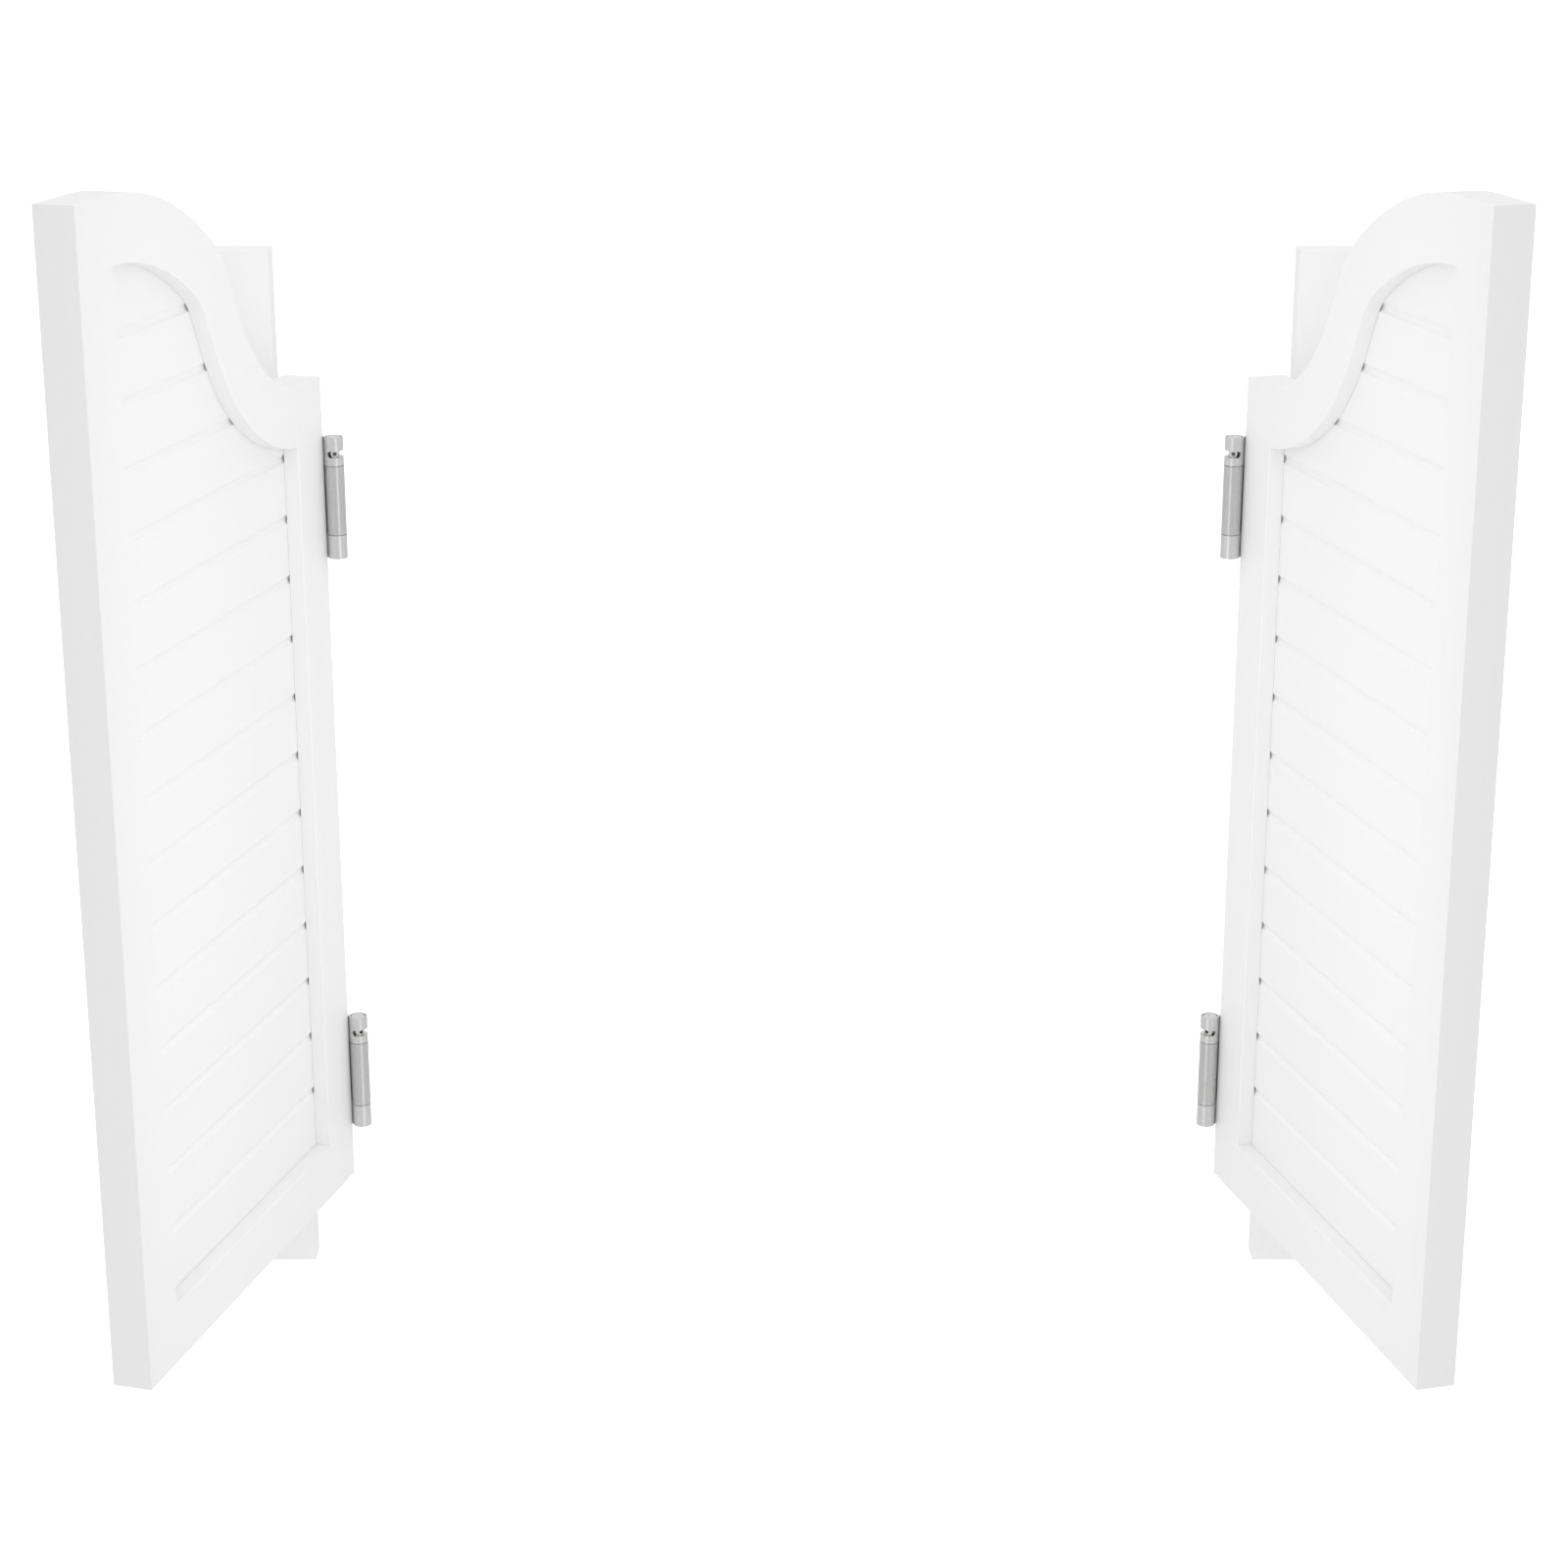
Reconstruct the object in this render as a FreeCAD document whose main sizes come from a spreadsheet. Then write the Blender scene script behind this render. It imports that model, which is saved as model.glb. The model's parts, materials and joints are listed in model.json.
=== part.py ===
import FreeCAD, Part
import Sketcher
import os
import re

# A pair of cafe doors: two painted frame-and-panel leaves, each hung from its own post on two
# double-action spring hinges.  Lengths are millimetres and angles are degrees.
#
# The origin is on the floor of the posts, halfway between them, in the mid-plane of the closed
# leaves.  +X runs to the right along the doorway, +Y goes through it and +Z is up.  The leaves
# stand open towards -Y.
#
# Every left-hand piece is placed from the closed doorway, in the frame of the post-side hinge
# barrel: "across" runs from that barrel towards the free edge, "back" through the doorway and
# "up" from the foot of the leaf.  Right-hand pieces are mirror images.

doc = FreeCAD.newDocument("cafe_doors")

# ---------------------------------------------------------------------------------------------
# Driving dimensions
# ---------------------------------------------------------------------------------------------

SIZES = [
    ("leaf_width", 405, "one leaf, hinge edge to free edge"),
    ("leaf_height", 889, "one leaf at its free edge"),
    ("hinge_height", 697, "one leaf at its hinge edge"),
    ("leaf_thickness", 32, "stiles and rails"),
    ("stile_width", 50, "both stiles"),
    ("bottom_width", 47, "height of the bottom rail"),
    ("top_width", 49, "width of the curved top rail"),
    ("hollow_radius", 128, "upper edge of the top rail, lower curve"),
    ("hollow_margin", 4, "least straight on each side of the hollow"),
    ("shoulder_radius", 95, "upper edge of the top rail, tight curve"),
    ("crown_radius", 276, "upper edge of the top rail, flat curve"),
    ("sweep_slope", 63, "steepest slope of the top rail"),
    ("crown_slope", 36, "slope where the tight curve meets the flat one"),
    ("arris_bevel", 0.5, "eased edges of the woodwork"),
    ("panel_thickness", 6.4, "grooved panel"),
    ("panel_tongue", 9, "panel edge inside the frame groove"),
    ("slot_depth", 10, "groove round the inside of the frame"),
    ("slot_play", 0.2, "groove width over the panel thickness"),
    ("board_pitch", 49.4, "from one round groove to the next"),
    ("cove_width", 7.5, "mouth of a round groove across the panel"),
    ("cove_depth", 1.8, "depth of a round groove across the panel"),
    ("dowel_diameter", 8, "frame dowels"),
    ("dowel_length", 40, "frame dowels"),
    ("dowel_relief", 1, "free end of a dowel hole"),
    ("dowel_edge", 12, "outer edge of the frame to the first dowel"),
    ("dowel_clear", 1, "panel groove to the dowels above it"),
    ("dowel_spacing", 14, "first dowel to second"),
    ("post_width", 45, "post along the doorway"),
    ("post_depth", 25.4, "post through the doorway"),
    ("post_length", 889, "post"),
    ("post_drop", 94, "foot of the post below the foot of the leaf"),
    ("fixing_end", 120, "end of the post to its nearest fixing hole"),
    ("fixing_diameter", 5.5, "fixing hole through the post"),
    ("counterbore_diameter", 13, "recess for the head of a post fixing"),
    ("counterbore_depth", 20, "recess for the head of a post fixing"),
    ("centre_gap", 4, "between the closed leaves"),
    ("open_angle", 105, "leaves at rest, from closed"),
    ("hinge_length", 100, "one spring hinge"),
    ("lower_place", 46, "foot of the leaf to the lower hinge"),
    ("upper_place", 49, "top of the hinge edge down to the upper hinge"),
    ("barrel_radius", 7.75, "outside of the knuckles and tubes"),
    ("barrel_wall", 1.25, "rolled sheet of the knuckles and tubes"),
    ("barrel_play", 0.25, "barrel to the face of the woodwork"),
    ("plate_thickness", 1.5, "flanges and centre web"),
    ("plate_play", 0.3, "between a flange and the web"),
    ("knuckle_play", 0.3, "between a knuckle and a tube"),
    ("turning_play", 1.1, "plate edge to a turning barrel"),
    ("top_knuckle", 23, "length of the upper knuckle"),
    ("bottom_knuckle", 19.5, "length of the lower knuckle"),
    ("flange_width", 32, "barrel axis to the far edge of a flange"),
    ("running_play", 0.05, "radial play of a pivot in its tube"),
    ("spigot_length", 8, "pivot inside its tube"),
    ("nut_slot_height", 5.5, "window in the upper knuckle"),
    ("nut_slot_drop", 13.5, "top of the hinge to the middle of the window"),
    ("nut_slot_angle", 155, "sweep of the window round the barrel"),
    ("nut_waist_radius", 4.6, "tension nut inside the window"),
    ("bar_diameter", 3.4, "holes for the tightening bar"),
    ("upper_bar_angle", 29, "first bar hole of an upper nut, from the plane of the leaf"),
    ("lower_bar_angle", 52, "first bar hole of a lower nut, which is set further round"),
    ("nut_chamfer", 0.8, "edge of the nut and of the pivot"),
    ("centre_radius", 1.6, "drilled centre in the head of the nut"),
    ("centre_depth", 2.5, "drilled centre in the head of the nut"),
    ("anchor_length", 4, "disc that holds the foot of a spring"),
    ("anchor_play", 0.5, "pivot to the anchor"),
    ("spring_radius", 4.9, "coil centreline"),
    ("wire_diameter", 1.8, "spring wire"),
    ("coil_pitch", 3, "from one coil to the next"),
    ("spring_play", 0.3, "nut to the top coil"),
    ("screw_length", 20, "hinge screws"),
    ("shank_diameter", 3.5, "hinge screws"),
    ("head_diameter", 7, "hinge screws"),
    ("point_length", 5, "tapered point of a screw"),
    ("recess_span", 4.6, "cross recess of a screw"),
    ("recess_width", 1, "cross recess of a screw"),
    ("recess_depth", 1.2, "cross recess of a screw"),
    ("screw_inset", 12, "end of a hinge to its end screws"),
    ("screw_edge", 7, "far edge of a flange to the outer screws"),
    ("screw_stagger", 8, "outer screws to the middle one"),
]

sheet = doc.addObject("Spreadsheet::Sheet", "Sizes")
for row, (alias, size, note) in enumerate(SIZES, 1):
    sheet.set("A%d" % row, alias)
    sheet.set("B%d" % row, str(size))
    sheet.set("C%d" % row, note)
    sheet.setAlias("B%d" % row, alias)
doc.recompute()


def formula(text):
    """Turn a formula in plain size names into one that any object can hold."""
    return re.sub(r"[a-z]+(?:_[a-z]+)+", lambda word: "Sizes." + word.group(0), text)


def number(text):
    """Work a formula out now."""
    return float(sheet.evalExpression(formula(text)))


def bind(thing, **sizes):
    """Tie properties of an object to formulas in plain size names."""
    for name, text in sizes.items():
        thing.setExpression(name.replace("__", "."), formula(text))
    return thing


# ---------------------------------------------------------------------------------------------
# Sketches
# ---------------------------------------------------------------------------------------------

def own_plane(body, role):
    """Find one of a body's own origin planes."""
    return [plane for plane in body.Origin.OriginFeatures if plane.Role == role][0]


def between(start, end, radius, hollow):
    """An arc from start to end and which of its ends comes first.

    A hollow arc has its centre on the left of the way from start to end.
    """
    chord = end - start
    middle = (start + end) * 0.5
    left = FreeCAD.Vector(-chord.y, chord.x, 0).normalize()
    reach = max(radius ** 2 - (chord.Length / 2) ** 2, 0) ** 0.5
    centre = middle + left * (reach if hollow else -reach)
    circle = Part.Circle(centre, FreeCAD.Vector(0, 0, 1), radius)
    first, last = (start, end) if hollow else (end, start)
    arc = Part.ArcOfCircle(circle, circle.parameter(first), circle.parameter(last))
    return arc, (1, 2) if hollow else (2, 1)


def draw(sketch, corners):
    """Draw one closed outline in a sketch and tie every corner to the sizes.

    A corner is (across, up, bend).  The bend shapes the edge from that corner to the next: None
    is straight, and (radius, hollow) is an arc.
    """
    points = [FreeCAD.Vector(number(across), number(up), 0) for across, up, bend in corners]
    edges = []
    for index, (across, up, bend) in enumerate(corners):
        start, end = points[index], points[(index + 1) % len(points)]
        if bend is None:
            shape, ends = Part.LineSegment(start, end), (1, 2)
        else:
            shape, ends = between(start, end, number(bend[0]), bend[1])
        edges.append((sketch.addGeometry(shape, False), ends, across, up, bend))
    for index, (edge, ends, across, up, bend) in enumerate(edges):
        before, before_ends = edges[index - 1][:2]
        sketch.addConstraint(Sketcher.Constraint("Coincident", before, before_ends[1], edge, ends[0]))
        for axis, text, place in (("DistanceX", across, points[index].x),
                                  ("DistanceY", up, points[index].y)):
            tie = sketch.addConstraint(Sketcher.Constraint(axis, -1, 1, edge, ends[0], place))
            sketch.setExpression("Constraints[%d]" % tie, formula(text))
        if bend is not None:
            tie = sketch.addConstraint(Sketcher.Constraint("Radius", edge, number(bend[0])))
            sketch.setExpression("Constraints[%d]" % tie, formula(bend[0]))


def sketch_on(body, role, offset, *outlines):
    """Make a sketch on one of the body's own planes, moved along the plane's normal."""
    sketch = body.newObject("Sketcher::SketchObject", "Outline")
    sketch.AttachmentSupport = [(own_plane(body, role), "")]
    sketch.MapMode = "FlatFace"
    bind(sketch, AttachmentOffset__Base__z=offset)
    for corners in outlines:
        draw(sketch, corners)
    doc.recompute()
    return sketch


def pad(body, sketch, length, towards_back=True):
    """Pad a sketch.  The XZ plane faces -Y, so a pad towards the back is a reversed one."""
    feature = body.newObject("PartDesign::Pad", "Pad")
    feature.Profile = sketch
    feature.Reversed = towards_back
    bind(feature, Length=length)
    doc.recompute()
    return feature


def revolve(body, corners):
    """Turn a half outline round the body's Z axis."""
    sketch = sketch_on(body, "XZ_Plane", "0", corners)
    feature = body.newObject("PartDesign::Revolution", "Revolution")
    feature.Profile = sketch
    feature.ReferenceAxis = (sketch, ["V_Axis"])
    feature.Angle = 360
    doc.recompute()
    return feature


# ---------------------------------------------------------------------------------------------
# Primitives, booleans and places
# ---------------------------------------------------------------------------------------------

def add(kind, name, **sizes):
    """Add a Part primitive with its sizes tied to the sheet."""
    return bind(doc.addObject(kind, name), **sizes)


def box(name, across, back, up, wide, deep, high):
    return add("Part::Box", name, Placement__Base__x=across, Placement__Base__y=back,
               Placement__Base__z=up, Length=wide, Width=deep, Height=high)


def rod(name, radius, length, across="0", back="0", up="0", along="Z"):
    """A cylinder that starts at a place and runs along X, Y or Z."""
    part = doc.addObject("Part::Cylinder", name)
    turns = {"X": FreeCAD.Rotation(FreeCAD.Vector(0, 1, 0), 90),
             "Y": FreeCAD.Rotation(FreeCAD.Vector(1, 0, 0), -90),
             "Z": FreeCAD.Rotation()}
    part.Placement = FreeCAD.Placement(FreeCAD.Vector(), turns[along])
    return bind(part, Radius=radius, Height=length, Placement__Base__x=across,
                Placement__Base__y=back, Placement__Base__z=up)


def fuse(name, *pieces):
    whole = doc.addObject("Part::MultiFuse", name)
    whole.Shapes = list(pieces)
    return whole


def group(name, *pieces):
    """Several solids side by side, none of them joined."""
    whole = doc.addObject("Part::Compound", name)
    whole.Links = list(pieces)
    return whole


def cut(name, base, tool):
    rest = doc.addObject("Part::Cut", name)
    rest.Base = base
    rest.Tool = tool
    return rest


def common(name, base, tool):
    shared = doc.addObject("Part::Common", name)
    shared.Base = base
    shared.Tool = tool
    return shared


# From the middle of the web to the near face of a flange, and to its far face on the wood.
FLANGE_FACE = "(plate_thickness / 2 + plate_play)"
PLATE_GAP = "(%s + plate_thickness)" % FLANGE_FACE
AXIS_OFFSET = "(barrel_radius + barrel_play)"
BARREL_SPACING = "(leaf_thickness + 2 * %s)" % AXIS_OFFSET
PIVOT_X = "(-(centre_gap / 2 + leaf_width + %s))" % PLATE_GAP
PIVOT_Y = "(-%s / 2)" % BARREL_SPACING
OPEN_SINE = "sin(open_angle * 1 deg)"
OPEN_COSINE = "cos(open_angle * 1 deg)"


def stand(piece, across="0", back="0", up="0", turn="0", swings=True):
    """Place a left-hand piece from its place in the closed doorway.

    A piece that swings is turned about the post-side barrel to the rest angle.
    """
    if swings:
        right = "%s * (%s) + %s * (%s)" % (OPEN_COSINE, across, OPEN_SINE, back)
        through = "%s * (%s) - %s * (%s)" % (OPEN_COSINE, back, OPEN_SINE, across)
        angle = "360 + (%s) - open_angle" % turn
    else:
        right, through, angle = across, back, turn
    return bind(piece, Placement__Base__x="%s + %s" % (PIVOT_X, right),
                Placement__Base__y="%s + %s" % (PIVOT_Y, through),
                Placement__Base__z="post_drop + %s" % up,
                Placement__Rotation__Angle="(%s) * 1 deg" % angle)


nodes = []


def finish(label, piece, **place):
    """Place a left-hand piece, mirror it for the right and list both for export."""
    stand(piece, **place)
    piece.Label = "left_" + label
    other = doc.addObject("Part::Mirroring", "Mirror")
    other.Source = piece
    other.Base = FreeCAD.Vector()
    other.Normal = FreeCAD.Vector(1, 0, 0)
    other.Label = "right_" + label
    nodes.extend([piece, other])


# ---------------------------------------------------------------------------------------------
# Leaf: frame and panel.  The leaf's own frame starts at the foot of its hinge edge, on the face
# next to the post-side barrel, with the thickness along +Y.
# ---------------------------------------------------------------------------------------------

SWEEP_SINE = "sin(sweep_slope * 1 deg)"
SWEEP_COSINE = "cos(sweep_slope * 1 deg)"
CROWN_SINE = "sin(crown_slope * 1 deg)"
CROWN_COSINE = "cos(crown_slope * 1 deg)"
INNER_EDGE = "(leaf_width - stile_width)"

# The top rail's upper edge: a flat crown, a tighter shoulder and a straight slope down to the
# level top of the hinge side.
CROWN_Z = "(leaf_height - crown_radius)"
SHOULDER_X = "(%s - (crown_radius - shoulder_radius) * %s)" % (INNER_EDGE, CROWN_SINE)
SHOULDER_Z = "(%s + (crown_radius - shoulder_radius) * %s)" % (CROWN_Z, CROWN_COSINE)
SLOPE_RISE = "(%s + shoulder_radius * %s - hinge_height)" % (SHOULDER_Z, SWEEP_COSINE)
SLOPE_FOOT = "(%s - shoulder_radius * %s - %s * %s / %s)" % (
    SHOULDER_X, SWEEP_SINE, SLOPE_RISE, SWEEP_COSINE, SWEEP_SINE)

# The hollow eases the corner between the slope and the level top, as far as their lengths let it.
HALF_TANGENT = "tan(sweep_slope / 2 * 1 deg)"
HOLLOW_ROOM = "((min(%s / %s; %s) - hollow_margin) / %s)" % (
    SLOPE_RISE, SWEEP_SINE, SLOPE_FOOT, HALF_TANGENT)
HOLLOW = "min(hollow_radius; %s)" % HOLLOW_ROOM
HOLLOW_X = "(%s - %s * %s)" % (SLOPE_FOOT, HOLLOW, HALF_TANGENT)
HOLLOW_Z = "(hinge_height + %s)" % HOLLOW


def hinge_side_height(inset, across):
    """Height of the sweep near the hinge side, inset below the upper edge of the rail."""
    if number(HOLLOW_X) > number(across):
        return "(hinge_height - (%s))" % inset
    return "(%s - sqrt((%s + (%s)) ^ 2 - (%s - (%s)) ^ 2))" % (
        HOLLOW_Z, HOLLOW, inset, HOLLOW_X, across)


def sweep(inset, from_across):
    """Corners of the top rail's S curve, from the crown down to the hinge side.

    inset is the distance below the rail's upper edge, and from_across is where the curve ends.
    """
    crown = "(crown_radius - (%s))" % inset
    shoulder = "(shoulder_radius - (%s))" % inset
    hollow = "(%s + (%s))" % (HOLLOW, inset)
    corners = [
        (INNER_EDGE, "%s + %s" % (CROWN_Z, crown), (crown, True)),
        ("%s - %s * %s" % (INNER_EDGE, crown, CROWN_SINE),
         "%s + %s * %s" % (CROWN_Z, crown, CROWN_COSINE), (shoulder, True)),
        ("%s - %s * %s" % (SHOULDER_X, shoulder, SWEEP_SINE),
         "%s + %s * %s" % (SHOULDER_Z, shoulder, SWEEP_COSINE), None),
        ("%s + %s * %s" % (HOLLOW_X, hollow, SWEEP_SINE),
         "%s - %s * %s" % (HOLLOW_Z, hollow, SWEEP_COSINE), (hollow, False)),
    ]
    if number(HOLLOW_X) > number(from_across):
        corners.append((HOLLOW_X, "hinge_height - (%s)" % inset, None))
    return corners + [(from_across, hinge_side_height(inset, from_across), None)]


def opening(spread):
    """Outline of the space inside the frame, grown by spread into the frame."""
    left = "stile_width - (%s)" % spread
    right = "%s + (%s)" % (INNER_EDGE, spread)
    bottom = "bottom_width - (%s)" % spread
    top = "leaf_height - top_width + (%s)" % spread
    corners = [(left, bottom, None), (right, bottom, None), (right, top, None)]
    return corners + sweep("top_width - (%s)" % spread, left)


blank = doc.addObject("PartDesign::Body", "FrameBlank")
outside = [("0", "0", None), ("leaf_width", "0", None), ("leaf_width", "leaf_height", None)]
outside += sweep("0", HOLLOW_X) + [("0", "hinge_height", None)]
inside = opening("0")[:2] + sweep("top_width", "stile_width")
ring = pad(blank, sketch_on(blank, "XZ_Plane", "0", outside, inside), "leaf_thickness")


def face_edges(shape, depths):
    """Names of the edges that lie flat in a face at one of the given depths."""
    names = []
    for index, edge in enumerate(shape.Edges, 1):
        bounds = edge.BoundBox
        if any(abs(bounds.YMin - depth) + abs(bounds.YMax - depth) < 1e-4 for depth in depths):
            names.append("Edge%d" % index)
    return names


eased = blank.newObject("PartDesign::Chamfer", "Arris")
eased.Base = (ring, face_edges(ring.Shape, (0, number("leaf_thickness"))))
bind(eased, Size="arris_bevel")
doc.recompute()

slot_body = doc.addObject("PartDesign::Body", "FrameGroove")
SLOT_WIDTH = "(panel_thickness + slot_play)"
slot_sketch = sketch_on(slot_body, "XZ_Plane", "-(leaf_thickness - %s) / 2" % SLOT_WIDTH,
                        opening("slot_depth"))
pad(slot_body, slot_sketch, SLOT_WIDTH)
grooved = cut("GroovedFrame", blank, slot_body)

# Dowels: two at each end of each rail, half in the rail and half in the stile.  Where the top
# rail curves away from the hinge stile they are set out from the panel groove below them.
HOLE_START = "(dowel_length / 2 + dowel_relief)"
GROOVE_TOP = hinge_side_height("top_width - slot_depth", "stile_width + " + HOLE_START)
dowels = []
dowel_holes = []
for across, first, way in [
        ("stile_width", "dowel_edge", 1),
        (INNER_EDGE, "dowel_edge", 1),
        ("stile_width", "%s + dowel_clear + dowel_diameter / 2" % GROOVE_TOP, 1),
        (INNER_EDGE, "leaf_height - dowel_edge", -1)]:
    for step in range(2):
        up = "%s + %d * dowel_spacing" % (first, way * step)
        where = dict(back="leaf_thickness / 2", up=up, along="X")
        dowels.append(rod("Dowel", "dowel_diameter / 2", "dowel_length",
                          across="%s - dowel_length / 2" % across, **where))
        dowel_holes.append(rod("DowelHole", "dowel_diameter / 2", "dowel_length + 2 * dowel_relief",
                               across="%s - %s" % (across, HOLE_START), **where))
dowel_bores = group("DowelBores", *dowel_holes)

# ---------------------------------------------------------------------------------------------
# Hinge screws.  A flange has three: two near its far edge and a middle one nearer the barrel.
# ---------------------------------------------------------------------------------------------

SCREW_ROWS = [
    ("flange_width - screw_edge", "screw_inset"),
    ("flange_width - screw_edge - screw_stagger", "hinge_length / 2"),
    ("flange_width - screw_edge", "hinge_length - screw_inset"),
]
HINGES = [("lower", "lower_place"), ("upper", "(hinge_height - upper_place - hinge_length)")]

# One screw, head at the origin and point along +X.
cone = add("Part::Cone", "ScrewHead", Radius1="head_diameter / 2", Radius2="shank_diameter / 2",
           Height="plate_thickness")
cone.Placement = FreeCAD.Placement(FreeCAD.Vector(), FreeCAD.Rotation(FreeCAD.Vector(0, 1, 0), 90))
shank = rod("Shank", "shank_diameter / 2",
            "screw_length - plate_thickness - point_length", across="plate_thickness", along="X")
point = add("Part::Cone", "ScrewPoint", Radius1="shank_diameter / 2", Radius2="0",
            Height="point_length")
point.Placement = cone.Placement
bind(point, Placement__Base__x="screw_length - point_length")
recess = fuse("CrossRecess",
              box("RecessUp", "0", "-recess_width / 2", "-recess_span / 2",
                  "recess_depth", "recess_width", "recess_span"),
              box("RecessAcross", "0", "-recess_span / 2", "-recess_width / 2",
                  "recess_depth", "recess_span", "recess_width"))
screw = cut("Screw", fuse("ScrewSolid", cone, shank, point), recess)


def screws_for(sign, start, back):
    """The six screws of one leaf or post, along +X (sign 1) or -X (sign -1)."""
    placed = []
    for name, place in HINGES:
        for reach, up in SCREW_ROWS:
            one = group("HingeScrew", screw)
            one.Placement.Rotation = FreeCAD.Rotation(FreeCAD.Vector(0, 0, 1), 0 if sign > 0 else 180)
            placed.append(bind(one, Placement__Base__x=start,
                               Placement__Base__y="%s - %d * (%s)" % (back, sign, reach),
                               Placement__Base__z="%s + %s" % (place, up)))
    return placed


def pilots_for(sign, start, back):
    """Drilled holes that the screws fill, from the face of the wood inwards."""
    holes = []
    for name, place in HINGES:
        for reach, up in SCREW_ROWS:
            depth = "(screw_length - plate_thickness)"
            across = start if sign > 0 else "%s - %s" % (start, depth)
            holes.append(rod("Pilot", "shank_diameter / 2", depth, across=across,
                             back="%s - %d * (%s)" % (back, sign, reach),
                             up="%s + %s" % (place, up), along="X"))
    return group("Pilots", *holes)


# Pieces of the leaf, cut from the grooved frame by bands across it.
LEAF_ACROSS = PLATE_GAP
LEAF_BACK = AXIS_OFFSET
MIDDLE = "hinge_height / 2"
leaf_place = dict(across=LEAF_ACROSS, back=LEAF_BACK)
DOOR_BARREL_IN_LEAF = "(leaf_thickness + %s)" % AXIS_OFFSET


def frame_piece(label, across, up, wide, high, bores):
    """One stile or rail: the part of the grooved frame inside a band, with its holes."""
    band = box("Band", across, "0", up, wide, "leaf_thickness", high)
    finish(label, cut("FramePiece", common("Banded", grooved, band), bores), **leaf_place)


leaf_pilots = pilots_for(1, "0", DOOR_BARREL_IN_LEAF)
hinge_stile_bores = group("StileBores", dowel_bores, leaf_pilots)
frame_piece("hinge_stile", "0", "0", "stile_width", "leaf_height", hinge_stile_bores)
frame_piece("meeting_stile", INNER_EDGE, "0", "stile_width", "leaf_height", dowel_bores)
RAIL_LENGTH = "(leaf_width - 2 * stile_width)"
frame_piece("bottom_rail", "stile_width", "0", RAIL_LENGTH, MIDDLE, dowel_bores)
frame_piece("top_rail", "stile_width", MIDDLE, RAIL_LENGTH, "leaf_height - %s" % MIDDLE, dowel_bores)
finish("frame_dowels", group("FrameDowels", *dowels), **leaf_place)

# Grooved panel: one board, its edges inside the frame, with round grooves across both faces.
panel = doc.addObject("PartDesign::Body", "Panel")
pad(panel, sketch_on(panel, "XZ_Plane", "0", opening("panel_tongue")), "panel_thickness")
first_cove = "bottom_width + board_pitch"
low, high = "%s - cove_width / 2" % first_cove, "%s + cove_width / 2" % first_cove
far = "panel_thickness"
COVE = ("(cove_width ^ 2 / 4 + cove_depth ^ 2) / (2 * cove_depth)", True)
coves = sketch_on(panel, "YZ_Plane", "0",
                  [("0", low, COVE), ("0", high, None)],
                  [(far, low, None), (far, high, COVE)])
cove_cut = panel.newObject("PartDesign::Pocket", "Coves")
cove_cut.Profile = coves
cove_cut.Reversed = True
bind(cove_cut, Length="leaf_width")
doc.recompute()
cove_rows = panel.newObject("PartDesign::LinearPattern", "CoveRows")
cove_rows.Originals = [cove_cut]
cove_rows.Direction = (coves, ["V_Axis"])
# No groove comes within half a board of the top rail.
PANEL_SIGHT = "(leaf_height - top_width - bottom_width)"
COVE_GAPS = "floor((%s - board_pitch / 2) / board_pitch) - 1" % PANEL_SIGHT
bind(cove_rows, Length="board_pitch * (%s)" % COVE_GAPS, Occurrences="%s + 1" % COVE_GAPS)
panel.Tip = cove_rows
doc.recompute()
finish("grooved_panel", panel, across=LEAF_ACROSS,
       back="%s + (leaf_thickness - panel_thickness) / 2" % LEAF_BACK)

# ---------------------------------------------------------------------------------------------
# Post: a squared batten with three counterbored fixing holes through its width.
# ---------------------------------------------------------------------------------------------

post = doc.addObject("PartDesign::Body", "Post")
post_outline = [("0", "0", None), ("post_width", "0", None),
                ("post_width", "post_length", None), ("0", "post_length", None)]
batten = pad(post, sketch_on(post, "XZ_Plane", "0", post_outline), "post_depth")
post_edges = post.newObject("PartDesign::Chamfer", "Arris")
post_edges.Base = (batten, face_edges(batten.Shape, (0, number("post_depth"))))
bind(post_edges, Size="arris_bevel")
doc.recompute()

POST_ACROSS = "-(%s + post_width)" % PLATE_GAP
FIXING_SPACING = "((post_length - 2 * fixing_end) / 2)"
fixings = []
for step in range(3):
    up = "fixing_end + %d * %s" % (step, FIXING_SPACING)
    fixings.append(rod("Fixing", "fixing_diameter / 2", "post_width",
                       back="post_depth / 2", up=up, along="X"))
    fixings.append(rod("Counterbore", "counterbore_diameter / 2", "counterbore_depth",
                       across="post_width - counterbore_depth", back="post_depth / 2", up=up,
                       along="X"))
post_pilots = pilots_for(-1, "post_width", "(-%s)" % AXIS_OFFSET)
bind(post_pilots, Placement__Base__z="post_drop")
post_piece = cut("PostPiece", cut("BoredPost", post, fuse("Fixings", *fixings)), post_pilots)
finish("post", post_piece, across=POST_ACROSS, back=AXIS_OFFSET, up="-post_drop", swings=False)

# ---------------------------------------------------------------------------------------------
# Double-action spring hinge.  Each piece is made once, in the frame of its own barrel with the
# foot of the hinge at zero, and placed four times.
# ---------------------------------------------------------------------------------------------

BORE = "(barrel_radius - barrel_wall)"
CLEAR = "(barrel_radius + turning_play)"
TOP_EDGE = "(hinge_length - top_knuckle)"
TUBE_FOOT = "(bottom_knuckle + knuckle_play)"
TUBE_TOP = "(%s - knuckle_play)" % TOP_EDGE
SLOT_FOOT = "(hinge_length - nut_slot_drop - nut_slot_height / 2)"

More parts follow.
